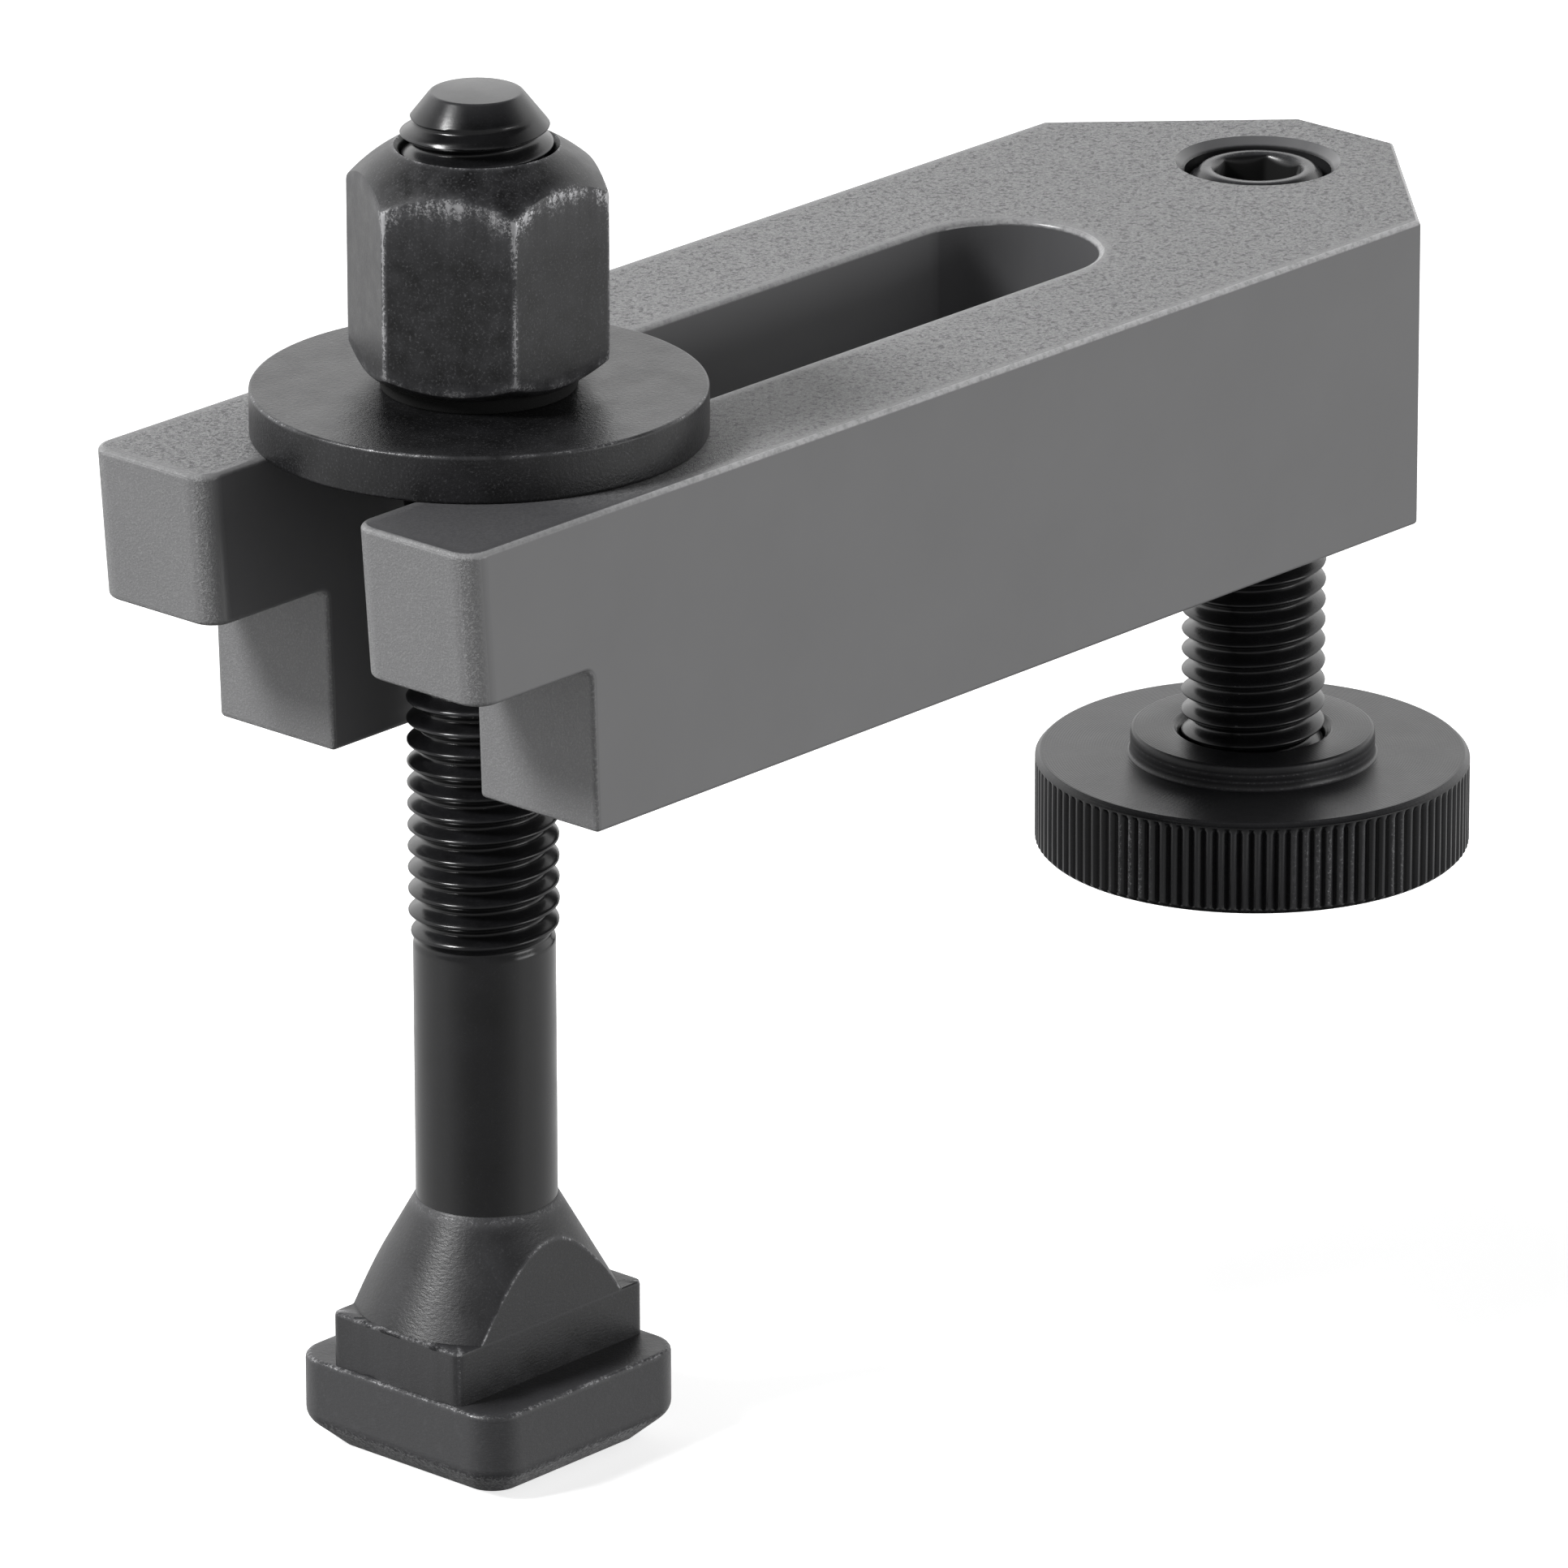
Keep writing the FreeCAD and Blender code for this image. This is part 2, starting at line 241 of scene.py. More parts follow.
def thread_radius(phase: Array, crest: float) -> Array:
    """Radius of a rolled metric thread across one pitch.

    From the crest's middle at axial distance s, it is the crest up to pitch / 16, then falls at 60
    degrees to the root 0.6134 pitch deeper, and a three-point mean rounds crest and root.

    Args:
        phase: Place in the pitch, in turns, with the crest at whole numbers, one value per row.
        crest: Crest radius.

    Returns:
        Radii, shaped as phase.
    """

    def sharp(p: Array) -> Array:
        """Thread form before it is rounded."""
        s = np.abs(p - np.round(p)) * PITCH
        return crest - np.clip((s - PITCH / 16) * math.sqrt(3), 0.0, ROOT_DEPTH)

    return (sharp(phase - ROUNDING) + 2.0 * sharp(phase) + sharp(phase + ROUNDING)) / 4.0


def helical_rows(
    low: float, high: float, crest_z: float, angle: Array, per_turn: int = 16
) -> tuple[Array, Array]:
    """Rows that climb one pitch in a turn, flattened where they would leave a height range.

    Row v has z = v + pitch * angle / turn, held between low and high, so the last column of a row
    lies on the first column of the row one pitch above.

    Args:
        low: Lowest height.
        high: Highest height.
        crest_z: Height of one crest at angle 0.
        angle: Column angles.
        per_turn: Rows in one pitch.

    Returns:
        Heights as (rows, columns), and the thread phase as (rows, 1).
    """
    count = int(math.ceil((high - low + PITCH) / PITCH * per_turn))
    v = low - PITCH + np.arange(count + 1)[:, None] * PITCH / per_turn
    return np.clip(v + PITCH * angle[None, :] / TURN, low, high), (v - crest_z) / PITCH


def near(values: Array, target: float | Array, width: float) -> Array:
    """Bell of exp(-((value - target) / width)^2)."""
    return np.exp(-(((values - target) / width) ** 2))


@dataclass
class Dress:
    """What a finished piece is called, rides on, stands for and wears."""

    name: str
    body: Body
    node: str
    slot: str
    material: bpy.types.Material
    sharp_deg: float = 50.0

    def make(self, points: Array, wear_and_painted_light: Array) -> None:
        """Turn a closed grid into a piece of the object.

        Args:
            points: Grid in millimetres, (rows, columns, 3), closed along its columns; its first and
                last rows lie on the axis or on each other.
            wear_and_painted_light: How rubbed each point is, from 0 to 1, with painted highlights on the same
            scale, or below 0 for painted shade in a hollow, shaped (rows, columns) or able to broadcast to
            it.
        """
        rows, cols = points.shape[:2]
        index = np.arange(rows * cols).reshape(rows, cols)
        quads = np.stack([index[:-1, :-1], index[:-1, 1:], index[1:, 1:], index[1:, :-1]], axis=-1)
        mesh = bpy.data.meshes.new(self.name)
        mesh.from_pydata((points.reshape(-1, 3) * MM).tolist(), [], quads.reshape(-1, 4).tolist())
        # one channel for wear, painted highlights and painted shade
        layer = mesh.attributes.new("wear_and_painted_light", "FLOAT", "POINT")
        flat = np.broadcast_to(wear_and_painted_light, (rows, cols)).astype(np.float32).ravel()
        layer.data.foreach_set("value", np.ascontiguousarray(flat))
        shell = bmesh.new()
        shell.from_mesh(mesh)
        bmesh.ops.remove_doubles(shell, verts=shell.verts, dist=WELD)
        bmesh.ops.recalc_face_normals(shell, faces=shell.faces)
        shell.to_mesh(mesh)
        shell.free()
        mesh.shade_smooth()
        mesh.set_sharp_from_angle(angle=math.radians(self.sharp_deg))
        piece = bpy.data.objects.new(self.name, mesh)
        bpy.context.scene.collection.objects.link(piece)
        mesh.materials.append(self.material)
        weighted = piece.modifiers.new("even_shading", "WEIGHTED_NORMAL")
        weighted.keep_sharp = True
        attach(piece, self.body.value)
        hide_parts(self.node)
        LOG.info("%s: %d triangles", self.name, sum(len(p.vertices) - 2 for p in mesh.polygons))


# --- finishes ---


def linear(hex_colour: str) -> Colour:
    """Linear colour of an sRGB hex value.

    Args:
        hex_colour: Colour such as "#7f7f80".

    Returns:
        Red, green, blue and alpha.
    """
    parts = [int(hex_colour[k : k + 2], 16) / 255 for k in (1, 3, 5)]
    low = [c / 12.92 if c <= 0.04045 else ((c + 0.055) / 1.055) ** 2.4 for c in parts]
    return (*low, 1.0)


def per_mm(size_mm: float) -> float:
    """Noise scale whose features are about size_mm wide on Object coordinates in metres."""
    return 1.0 / (size_mm * MM)


def add_node(
    tree: bpy.types.NodeTree, kind: str, *values: Value, out: str = "", **named: Value | str
) -> Socket | None:
    """Add a node with its settings, values and links.

    Args:
        tree: Node tree that gets the node.
        kind: Node type without its "ShaderNode" start.
        *values: Values or sockets for the inputs in use, in their order.
        out: Name of the wanted output; by default the first one in use.
        **named: Words in small letters are the node's settings. Words with a capital are inputs,
            with "_" for a blank, and take a value or a socket.

    Returns:
        The wanted output, or None from a node that has none.
    """
    node = tree.nodes.new("ShaderNode" + kind)
    settings = [key for key in named if key.islower()]
    for key in settings:
        setattr(node, key, named[key])
    pairs = list(zip([socket for socket in node.inputs if socket.enabled], values))
    pairs += [(node.inputs[key.replace("_", " ")], named[key]) for key in named if key not in settings]
    for socket, value in pairs:
        if isinstance(value, Socket):
            tree.links.new(value, socket)
        else:
            socket.default_value = value
    return node.outputs[out] if out else next((socket for socket in node.outputs if socket.enabled), None)


class Finish:
    """A material under way: its node tree and its Object coordinates."""

    def __init__(self, name: str) -> None:
        """Start an empty material.

        Args:
            name: Material name.
        """
        self.material = bpy.data.materials.new(name)
        self.material.use_nodes = True
        self.material.node_tree.nodes.clear()
        self.place = self.add("TexCoord", out="Object")

    def add(self, kind: str, *values: Value, out: str = "", **named: Value | str) -> Socket | None:
        """Add a node to this material; see add_node."""
        return add_node(self.material.node_tree, kind, *values, out=out, **named)

    def product(self, *shares: Value) -> Socket:
        """Multiply shares, two by two.

        Args:
            *shares: Values or sockets.

        Returns:
            The product's socket.
        """
        whole, *others = shares
        for share in others:
            whole = self.add("Math", whole, share, operation="MULTIPLY")
        return whole

    def from_axis(self, axis_x_mm: float) -> Socket:
        """Distance from an upright axis: sqrt((x - axis)^2 + y^2).

        Args:
            axis_x_mm: X of the axis.

        Returns:
            The distance socket, in metres.
        """
        moved = self.add("Mapping", Vector=self.place, Location=(-axis_x_mm * MM, 0, 0))
        x, y, _ = self.add("SeparateXYZ", moved).node.outputs
        square = self.add("Math", self.product(x, x), self.product(y, y), operation="ADD")
        return self.add("Math", square, operation="SQRT")


@dataclass(frozen=True)
class BlackOxide:
    """Hot-blackened steel: a thin dark film, rubbed through to bright steel where it is handled.

    The film itself is nearly black. What the eye takes for grey is its sheen, so roughness and gloss
    tell the forged, rolled and turned pieces apart. The grain is drawn a few times coarser than the
    real one, which is too fine to show.
    """

    name: str
    dark: str = "#151516"
    pale: str = "#272729"
    satin: str = "#3d3d3f"
    scuff: str = "#5c5c5e"
    steel: str = "#c6c6c8"
    # painted shade: near-black tone that stands in for shade in hollows
    painted_shade_black: str = "#050505"
    roughness: float = 0.38
    uneven: float = 0.06
    gloss: float = 0.5
    mottle_mm: float = 3.0
    patch_mm: float = 0.8
    fleck_mm: float = 0.24
    speck_mm: float = 0.2
    grain_mm: float = 0.25
    grain_depth_mm: float = 0.012
    grain_stretch: tuple[float, float, float] = (1.0, 1.0, 1.0)
    salt: float = 0.35
    rings_mm: float = 0.0
    ring_depth_mm: float = 0.004
    rings_centre_x: float = 0.0

    def build(self) -> bpy.types.Material:
        """Make the material.

        The piece's wear_and_painted_light attribute rules it: up to 0.35 the film turns to a paler satin,
        then to a mottled grey scuff and flecks of bare steel, and below 0 it is painted shade: a near-black,
        dull hollow.

        Returns:
            The blackened steel, with cloudy tone, fine grain, pale specks and optional turning rings.
        """
        f = Finish(self.name)
        patterns = ((self.mottle_mm, 4.0, 0.6), (self.speck_mm, 4.0, 0.7), (self.patch_mm, 6.0, 0.8),
                    (self.fleck_mm, 4.0, 0.75))
        cloud, specks, patchy, flecks = (
            f.add("TexNoise", Vector=f.place, Scale=per_mm(size), Detail=detail, Roughness=strength)
            for size, detail, strength in patterns)
        stretched = f.add("Mapping", Vector=f.place, Scale=self.grain_stretch)
        grain = f.add("TexNoise", Vector=stretched, Scale=per_mm(self.grain_mm), Detail=3.0, Roughness=0.65)
        wear_and_painted_light = f.add("Attribute", attribute_name="wear_and_painted_light", out="Fac")

        # shares of the surface, 1 where a look holds in full
        rubbed_and_highlit = f.add("MapRange", wear_and_painted_light, 0.0, 1.0)
        # painted shade: below 0 the film turns near-black and dull, standing in for shade in hollows, creases
        # and under parts
        painted_shade = f.add("MapRange", wear_and_painted_light, -0.9, -0.1, 1.0, 0.0)
        specks = f.product(f.add("MapRange", specks, 0.55, 0.72), self.salt)
        patchy = f.product(rubbed_and_highlit, f.add("MapRange", patchy, 0.38, 0.6, 0.1, 1.4))
        scuffed = f.add("MapRange", patchy, 0.3, 0.95)
        flecks = f.product(rubbed_and_highlit, f.add("MapRange", flecks, 0.38, 0.62, 0.0, 1.3))
        flecks = f.add("MapRange", flecks, 0.38, 1.15, 0.0, 0.95)
        edges = f.add("MapRange", wear_and_painted_light, 0.93, 1.02, 0.0, 0.8)
        bare = f.add("Math", flecks, edges, operation="MAXIMUM")
        greyed = f.add("Math", f.product(scuffed, 0.85), specks, operation="MAXIMUM")

        # tones from the lowest layer up
        layers = [(f.add("MapRange", cloud, 0.33, 0.7), self.pale),
                  (f.add("MapRange", rubbed_and_highlit, 0.0, 0.35, 0.0, 0.85), self.satin),
                  (greyed, self.scuff), (bare, self.steel), (painted_shade, self.painted_shade_black)]
        colour = linear(self.dark)
        for share, tone in layers:
            colour = f.add("Mix", share, colour, linear(tone), data_type="RGBA")
        dull = f.add("MapRange", cloud, 0.3, 0.7, self.roughness - self.uneven, self.roughness + self.uneven)
        dull = f.add("Math", dull, f.product(scuffed, 0.1), operation="ADD")
        dull = f.add("Math", dull, f.product(painted_shade, 0.95), operation="MAXIMUM")
        normal = f.add("Bump", Height=grain, Distance=self.grain_depth_mm * MM, Strength=1.0)
        if self.rings_mm:
            turns = f.product(f.from_axis(self.rings_centre_x), TURN * per_mm(self.rings_mm))
            rings = f.add("Math", turns, operation="SINE")
            depth = self.ring_depth_mm * MM
            normal = f.add("Bump", Height=rings, Distance=depth, Strength=1.0, Normal=normal)
        steel = f.add("BsdfPrincipled", Base_Color=colour, Metallic=f.product(bare, 0.85), Roughness=dull,
                      Specular_IOR_Level=self.gloss, Normal=normal)
        f.add("OutputMaterial", Surface=steel)
        return f.material


@dataclass(frozen=True)
class GreyEnamel:
    """Grey enamel over a blasted forging: smooth on the sides, grainy on the top and on the nose.

    The grains show as pale tips and dark pits, twice as coarse as the real grit so that they show.
    Painted highlights run pale along the top's rims; painted shade darkens the nose, the near prong's top,
    the countersink and the slot's ends.
    """

    hole_x: float
    name: str = "grey_enamel_on_blasted_forging"
    paint: str = "#838384"
    deep: str = "#808081"
    tip: str = "#adadae"
    pit: str = "#5c5c5e"
    spark: str = "#b5b5b6"
    # painted highlight tone of the top's rounded rims
    rim: str = "#cfcfd0"
    # painted shade tone of the nose, the near prong's top, the countersink and the slot's ends
    painted_shade_grey: str = "#525254"
    cut: str = "#262627"
    grain_mm: float = 0.2
    grain_depth_mm: float = 0.15
    pit_mm: float = 0.5
    peel_mm: float = 1.6
    peel_depth_mm: float = 0.02
    cloud_mm: float = 9.0
    half_width: float = 20.0
    nose_x: float = -22.5
    slot_half: float = 7.7
    slot_end_x: float = 60.6
    hole_half: float = 7.3
    bore_r: float = 6.02

    def inland(self, f: Finish, x: Socket, off_middle: Socket, y: Socket) -> Socket:
        """How far a point of the top lies from its edges, in metres.

        The least of half width - |y|, x - nose and sqrt(max(x - slot end, 0)^2 + y^2) - slot half.

        Args:
            f: The material under way.
            x: X of the point.
            off_middle: |Y| of the point.
            y: Y of the point.

        Returns:
            The distance socket.
        """
        beside = f.add("Math", self.half_width * MM, off_middle, operation="SUBTRACT")
        behind = f.add("Math", x, self.nose_x * MM, operation="SUBTRACT")
        past = f.add("Math", x, self.slot_end_x * MM, operation="SUBTRACT")
        past = f.add("Math", past, 0.0, operation="MAXIMUM")
        square = f.add("Math", f.product(past, past), f.product(y, y), operation="ADD")
        reach = f.add("Math", square, operation="SQRT")
        slot = f.add("Math", reach, self.slot_half * MM, operation="SUBTRACT")
        return f.add("Math", f.add("Math", beside, behind, operation="MINIMUM"), slot, operation="MINIMUM")

    def build(self) -> bpy.types.Material:
        """Make the material.

        Returns:
            The enamel. Grain and pits show by how far a face looks up or towards the nose, and stop
            short of the top's edges.
        """
        f = Finish(self.name)
        x, y, _ = f.add("SeparateXYZ", f.place).node.outputs
        nx, _, nz = f.add("SeparateXYZ", f.add("TexCoord", out="Normal")).node.outputs
        along_x = f.add("Math", nx, operation="ABSOLUTE")
        off_middle = f.add("Math", y, operation="ABSOLUTE")
        hole = f.from_axis(self.hole_x)
        patterns = ((self.grain_mm, 4.0, 0.75), (self.pit_mm, 6.0, 0.72), (self.cloud_mm, 3.0, 0.5),
                    (self.peel_mm, 2.0, 0.5))
        grit, pits, cloud, peel = (
            f.add("TexNoise", Vector=f.place, Scale=per_mm(size), Detail=detail, Roughness=strength)
            for size, detail, strength in patterns)

        # shares of the surface, 1 where a look holds in full
        up = f.add("MapRange", nz, 0.9, 0.985)
        slot_low, slot_high = (self.slot_half - 0.1) * MM, (self.slot_half + 0.1) * MM
        in_slot = f.add("MapRange", off_middle, slot_low, slot_high, 0.8, 0.0)
        forward = f.add("Math", nx, -1.0, operation="MULTIPLY")
        outside = f.add("MapRange", in_slot, 0.0, 0.1, 1.0, 0.0)
        front = f.product(f.add("MapRange", forward, 0.35, 0.8), outside)
        near_nose = f.add("MapRange", x, -10.0 * MM, 12.0 * MM, 1.0, 0.0)
        smooth = f.product(near_nose, f.add("MapRange", y, -9.0 * MM, -6.0 * MM, 1.0, 0.0))
        inland = f.add("MapRange", self.inland(f, x, off_middle, y), 0.4 * MM, 1.3 * MM, 0.15, 1.0)
        grainy = f.product(up, inland, f.add("MapRange", smooth, 0.0, 1.0, 1.0, 0.1))
        corner = f.product(f.add("MapRange", along_x, 0.3, 0.65),
                           f.add("MapRange", along_x, 0.9, 0.99, 1.0, 0.0),
                           f.add("MapRange", x, -8.0 * MM, -4.0 * MM, 1.0, 0.0))
        # painted highlight: a pale band along the top's rounded rims, broken by the pits, weaker at the nose
        # and the slot
        hole_rim, slot_rim = self.hole_half * MM, (self.slot_half + 0.6) * MM
        rim = f.product(f.add("MapRange", nz, 0.1, 0.35), f.add("MapRange", nz, 0.95, 0.995, 1.0, 0.0),
                        f.add("MapRange", pits, 0.36, 0.56, 0.4, 1.0),
                        f.add("MapRange", hole, hole_rim, hole_rim + 0.3 * MM),
                        f.add("MapRange", x, -10.0 * MM, 8.0 * MM, 0.3, 1.0),
                        f.add("MapRange", off_middle, slot_rim, slot_rim + 0.3 * MM, 0.45, 1.0))
        chamfer = f.product(f.add("MapRange", hole, hole_rim, hole_rim + 0.1 * MM, 0.4, 0.0),
                            f.add("MapRange", nz, 0.3, 0.5), f.add("MapRange", nz, 0.9, 0.97, 1.0, 0.0))
        # painted shade: the nose and the near prong's top are drawn darker, where the washer and nut shade
        # them and mirror in them, and the hole's countersink too
        prongs = f.add("Math", smooth, f.product(near_nose, 0.3), operation="MAXIMUM")
        shaded_top = f.add("Math", f.product(prongs, up), chamfer, operation="MAXIMUM")
        # painted shade: the slot's walls are drawn darker near the nose and towards the rear end
        ends = f.add("Math", near_nose, f.add("MapRange", x, 48.0 * MM, 62.0 * MM), operation="MAXIMUM")
        shaded_slot_ends = f.product(in_slot, ends, f.add("MapRange", nz, 0.2, 0.9, 1.0, 0.0))
        sparkling = f.add("Math", f.product(front, 0.35), corner, operation="MAXIMUM")
        bore = self.bore_r * MM

        # tones from the lowest layer up
        layers = [(f.add("MapRange", cloud, 0.3, 0.7), self.paint),
                  (shaded_top, self.painted_shade_grey), (shaded_slot_ends, self.painted_shade_grey),
                  (f.product(grainy, f.add("MapRange", grit, 0.42, 0.58, 0.0, 0.9)), self.tip),
                  (f.product(grainy, f.add("MapRange", pits, 0.54, 0.58, 0.0, 0.85)), self.pit),
                  (f.product(sparkling, f.add("MapRange", grit, 0.5, 0.66, 0.0, 0.75)), self.spark),
                  (rim, self.rim),
                  (f.add("MapRange", hole, bore, bore + 0.15 * MM, 1.0, 0.0), self.cut)]
        colour = linear(self.deep)
        for share, tone in layers:
            colour = f.add("Mix", share, colour, linear(tone), data_type="RGBA")
        rough = f.add("Math", f.product(front, 0.5), corner, operation="MAXIMUM")
        rough = f.add("Math", grainy, rough, operation="MAXIMUM")
        normal = f.add("Bump", Height=peel, Distance=self.peel_depth_mm * MM, Strength=1.0)
        depth = self.grain_depth_mm * MM
        normal = f.add("Bump", Height=f.product(grit, rough), Distance=depth, Strength=1.0, Normal=normal)
        dull = f.add("MapRange", rough, 0.0, 1.0, 0.27, 0.5)
        enamel = f.add("BsdfPrincipled", Base_Color=colour, Roughness=dull, Normal=normal)
        f.add("OutputMaterial", Surface=enamel)
        return f.material


@dataclass(frozen=True)
class PaleFloor:
    """Matt studio paper, lit a little from below so that only a trace of shadow shows."""

    name: str = "matt_studio_paper"
    paper: str = "#f4f4f4"
    light_paper: str = "#fafafa"
    cloud_mm: float = 60.0
    glow: float = 0.68

    def build(self) -> bpy.types.Material:
        """Make the material.

        Returns:
            The paper, with a faint cloud in its tone and a little light of its own.
        """
        f = Finish(self.name)
        cloud = f.add("TexNoise", Vector=f.place, Scale=per_mm(self.cloud_mm), Detail=2.0, Roughness=0.55)
        share = f.add("MapRange", cloud, 0.3, 0.7, 0.0, 0.25)
        tone = f.add("Mix", share, linear(self.paper), linear(self.light_paper), data_type="RGBA")
        paper = f.add("BsdfPrincipled", Base_Color=tone, Roughness=0.9, Specular_IOR_Level=0.1,
                      Emission_Color=(1.0, 1.0, 1.0, 1.0), Emission_Strength=self.glow)
        f.add("OutputMaterial", Surface=paper)
        return f.material


# --- pieces ---


@dataclass
class TSlotBolt:
    """Forged and milled head with its cone, and the shank with the rolled thread."""

    top: float
    head_half: float = 11.0
    head_corner: float = 3.0
    head_top: float = 7.4
    bevel_in: float = 2.3
    bevel_up: float = 2.2
    shoulder: float = 2.4
    neck_half_x: float = 10.6
    neck_half_y: float = 6.85
    neck_corner: float = 0.8
    neck_top: float = 11.8
    cone_foot: float = 10.5
    cone_top: float = 20.5
    shank: float = 5.55
    thread_low: float = 41.2
    thread_high: float = 108.9
    crest: float = 5.9
    crest_z: float = 1.458
    bevel_z: float = 107.3
    tip: float = 3.55

    def head_angles(self, rows_r: Array, columns: int) -> Array:
        """Column angles of each cone row, gathered on the edge between cone and milled flat.

        The edge is at asin(half width / r); each quarter's angles up to 45 degrees are stretched to
        end there, and the rest fill the flat.

        Args:
            rows_r: Cone radius of each row.
            columns: Columns in one turn, a multiple of 8.

        Returns:
            Angles as (rows, columns + 1).
        """
        base = around(columns)
        edge = np.arcsin(np.clip(self.neck_half_y / rows_r, 0.0, 0.985))[:, None]
        eased = ramp(self.neck_half_y * 0.9, self.neck_half_y * 1.03, rows_r)[:, None]
        edge = math.pi / 4 + (edge - math.pi / 4) * eased
        quarter = np.abs(np.mod(base + math.pi / 2, math.pi) - math.pi / 2)[None, :]
        inner = quarter / (math.pi / 4) * edge
        outer = edge + (quarter / (math.pi / 4) - 1.0) * (math.pi / 2 - edge)
        folded = np.where(quarter <= math.pi / 4, inner, outer)
        sign = np.where(np.sin(2 * base) > TINY, 1.0, -1.0)
        half_turn = np.floor(base / math.pi + 0.5) * math.pi
        return half_turn[None, :] + sign[None, :] * folded

    def head_rows(self, angle: Array) -> tuple[Array, Array, Array]:
        """Rows of the square head: rounded rectangles set in by the depth of a softened profile.

        Args:
            angle: Column angles as (1, columns).

        Returns:
            Radii (rows, columns), heights (rows, 1) and wear with a painted reflection on the lower bevel
            (rows, columns).
        """
        corners = [(self.bevel_in, 0.0), (0.0, self.bevel_up), (0.0, self.head_top),
                   (self.shoulder, self.head_top)]
        profile = soften(np.array(corners), np.array([0.5, 0.7, 0.45, 0.0]))
        inset, z = profile[:, :1], profile[:, 1:]
        half = self.head_half - inset
        r = rounded_rectangle(half, half, self.head_corner - 0.35 * inset, angle)
        patches = 0.75 + 0.5 * ripple(angle * 11, 6)
        upper_edge = near(z, self.head_top, 0.15) * near(inset, 0.05, 0.22)
        # painted reflection: the lower bevel, which mirrors the floor, is drawn paler as rubbed scuffs
        bevel = ramp(self.bevel_up + 0.3, self.bevel_up - 0.4, z)
        return r, z, 0.9 * upper_edge * patches + 0.3 * (inset < 0.6) + 0.6 * bevel

    def neck_rows(self, angle: Array) -> tuple[Array, Array, Array]:
        """Rows of the milled neck: a rounded rectangle, its upper edge broken where the cone leaves it free.

        On the nose side the edge is torn: it stands out and up by two ripples along Y.

        Args:
            angle: Column angles as (1, columns).

        Returns:
            Radii, heights and wear, each (rows, columns).
        """
        # each row's height, set-in of the free edge, burr outwards and upwards, wear, and corners' wear
        rows = np.array([
            (self.head_top, 0.0, 0.3, 0.0, 0.1, 0.75),
            (self.head_top + 0.3, 0.0, 0.0, 0.0, 0.1, 0.3),
            (self.neck_top - 0.3, 0.0, 0.05, 0.0, 0.2, 0.55),
            (self.neck_top - 0.07, 0.06, 1.0, 0.6, 0.85, 1.0),
            (self.neck_top, 0.25, 0.5, 1.4, 0.6, 1.0)])
        z, set_in, outwards, upwards, worn, corners = np.hsplit(rows, 6)
        r = rounded_rectangle(self.neck_half_x, self.neck_half_y, self.neck_corner, angle)
        cone_foot = np.minimum(self.cone_foot, self.neck_half_y / np.maximum(np.abs(np.sin(angle)), TINY))
        free = np.clip((r - cone_foot) / 0.35, 0.0, 1.0)
        nose_side = ramp(0.75, 0.95, -np.cos(angle))
        across = r * np.sin(angle)
        torn = nose_side * (0.2 + 0.4 * ripple(across * 0.35, 5) + 0.4 * ripple(across * 1.2, 15)) * 0.5
        burr = torn * outwards
        off_x = np.abs(np.mod(angle + math.pi / 2, math.pi) - math.pi / 2)
        corner_line = near(off_x, math.atan2(self.neck_half_y, self.neck_half_x), 0.014)
        wear_and_painted_light = worn * (0.3 + 0.7 * nose_side) + corners * corner_line
        return r - set_in * free + burr, z + burr * upwards, wear_and_painted_light

    def cone_rows(self, columns: int) -> tuple[Array, Array, Array, Array]:
        """Rows of the cone with its milled flats: min(cone radius, neck half width / |sin a|).

        Args:
            columns: Columns in one turn, a multiple of 8.

        Returns:
            Radii (rows, columns + 1), heights (rows, 1), and angles and wear with a painted highlight near
            the top (rows, columns + 1).
        """
        z = np.linspace(self.neck_top, self.cone_top, 72)[:, None]
        t = (z - self.neck_top) / (self.cone_top - self.neck_top)
        r_round = self.cone_foot + (self.shank + 0.06 - self.cone_foot) * t
        angles = self.head_angles(r_round[:, 0], columns)
        flat = self.neck_half_y / np.maximum(np.abs(np.sin(angles)), TINY)
        # painted highlight: the rounding where the cone meets the shank is drawn paler, as rubbed satin
        seam_highlight = near(t, 0.97, 0.05) * 0.35
        wear_and_painted_light = near(r_round - flat, 0.0, 0.1) * (0.55 + 0.4 * ripple(z * 1.4, 9)) + seam_highlight + 0.1
        return np.minimum(r_round, flat), z, angles, wear_and_painted_light

    def head_points(self) -> tuple[Array, Array]:
        """Grid of the head, neck and cone, from the pole under the head to the one in the shank.

        Returns:
            Points (rows, columns, 3) and wear with painted highlights and reflections (rows, columns).
        """
        columns = 384
        angle = around(columns)[None, :]
        r_head, z_head, head_wear_and_reflection = self.head_rows(angle)
        r_neck, z_neck, wear_neck = self.neck_rows(angle)
        pole = np.zeros((1, angle.size))
        blocks = [
            (np.concatenate([pole, r_head[:1] * 0.5]), 0.0, angle, 0.0),
            (r_head, z_head, angle, head_wear_and_reflection), (r_neck, z_neck, angle, wear_neck), self.cone_rows(columns),
            (np.concatenate([pole + self.shank - 0.1, pole]), self.cone_top + 0.12, angle, 0.0)]
        points, wear_and_painted_light = [], []
        for radius, height, turn, rubbed_and_highlit in blocks:
            full, z = np.broadcast_to(turn, radius.shape), np.broadcast_to(height, radius.shape)
            points.append(np.stack([radius * np.cos(full), radius * np.sin(full), z], axis=-1))
            wear_and_painted_light.append(np.broadcast_to(rubbed_and_highlit, radius.shape))
        return np.concatenate(points), np.concatenate(wear_and_painted_light)

